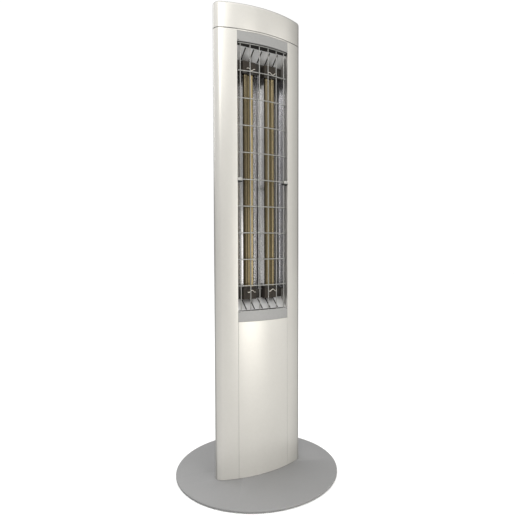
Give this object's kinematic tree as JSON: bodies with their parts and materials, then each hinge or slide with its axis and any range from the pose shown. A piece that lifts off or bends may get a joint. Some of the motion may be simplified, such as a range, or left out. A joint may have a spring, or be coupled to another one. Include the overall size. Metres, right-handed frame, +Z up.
{
  "type": "free-standing infrared terrace heater",
  "caption": "Free-standing infrared terrace heater: slim lens-section column on a round steel plate, twin-tube lamps behind a wire guard in the upper half.",
  "frame": {"origin": "on the floor, under the centre of the round base plate", "axes": "+Z up along the column, -Y out of the front with the lamps, +X to the right of someone who stands facing the front (right-handed)"},
  "size_m": [0.5, 0.5, 1.4],
  "materials": {
    "pearl_paint": "satin",
    "trim_grey": "satin",
    "plate_grey": "matt",
    "mirror_sheet": "polished",
    "bare_steel": "brushed",
    "guard_steel": "polished",
    "dark_steel": "matt",
    "gold_quartz": "metallised",
    "tungsten": "drawn",
    "ceramic": "unglazed",
    "black_plastic": "fine texture",
    "black_rubber": "matt",
    "white_plastic": "moulded",
    "red_cable": "matt"
  },
  "bodies": {
    "column": {"base_plate": "plate_grey", "foot_pad_1": "black_rubber", "foot_pad_2": "black_rubber", "foot_pad_3": "black_rubber", "foot_pad_4": "black_rubber", "base_bolt_1": "bare_steel", "base_bolt_2": "bare_steel", "base_bolt_3": "bare_steel", "base_bolt_4": "bare_steel", "foot_bracket": "dark_steel", "left_side_profile": "pearl_paint", "right_side_profile": "pearl_paint", "lower_front_cover": "pearl_paint", "top_trim": "trim_grey", "bottom_trim": "trim_grey", "rear_cover": "pearl_paint", "rear_screw_1": "bare_steel", "rear_screw_2": "bare_steel", "rear_screw_3": "bare_steel", "rear_screw_4": "bare_steel", "top_closing_plate": "pearl_paint", "cap_gasket": "black_rubber", "top_cap": "pearl_paint", "right_reflector": "mirror_sheet", "left_reflector": "mirror_sheet", "heat_shield": "bare_steel", "thermal_cutout": "black_plastic", "top_end_reflector": "mirror_sheet", "bottom_end_reflector": "mirror_sheet", "left_lamp_tube": "gold_quartz", "left_filament": "tungsten", "left_lamp_upper_socket": "ceramic", "left_lamp_upper_clip": "bare_steel", "left_lamp_lower_socket": "ceramic", "left_lamp_lower_clip": "bare_steel", "right_lamp_tube": "gold_quartz", "right_filament": "tungsten", "right_lamp_upper_socket": "ceramic", "right_lamp_upper_clip": "bare_steel", "right_lamp_lower_socket": "ceramic", "right_lamp_lower_clip": "bare_steel", "upper_lamp_bracket": "dark_steel", "lower_lamp_bracket": "dark_steel", "wire_guard": "guard_steel", "left_guard_clip": "guard_steel", "right_guard_clip": "guard_steel", "switch_housing": "black_plastic", "cable_gland": "black_plastic", "gland_membrane": "black_rubber", "tip_switch_body": "black_plastic", "tip_switch_spring": "bare_steel", "wiring_board": "bare_steel", "terminal_block": "white_plastic", "lamp_harness": "red_cable"},
    "left_rocker": {"left_rocker": "black_plastic"},
    "right_rocker": {"right_rocker": "black_plastic"},
    "tip_pin": {"tip_switch_pin": "white_plastic"}
  },
  "joints": [
    {"name": "left_rocker_tilt", "type": "hinge", "parent": "column", "child": "left_rocker", "pos_m": [-0.01175, 0.0495, 0.25], "axis": [1, 0, 0], "range_deg": [0, 16]},
    {"name": "right_rocker_tilt", "type": "hinge", "parent": "column", "child": "right_rocker", "pos_m": [0.01175, 0.0495, 0.25], "axis": [1, 0, 0], "range_deg": [0, 16]},
    {"name": "tip_pin_slide", "type": "slide", "parent": "column", "child": "tip_pin", "axis": [0, 0, 1], "range_m": [-0.004, 0.0015], "stiffness_N_per_m": 80, "springref_m": -0.006, "deforming": ["tip_switch_spring"]}
  ]
}
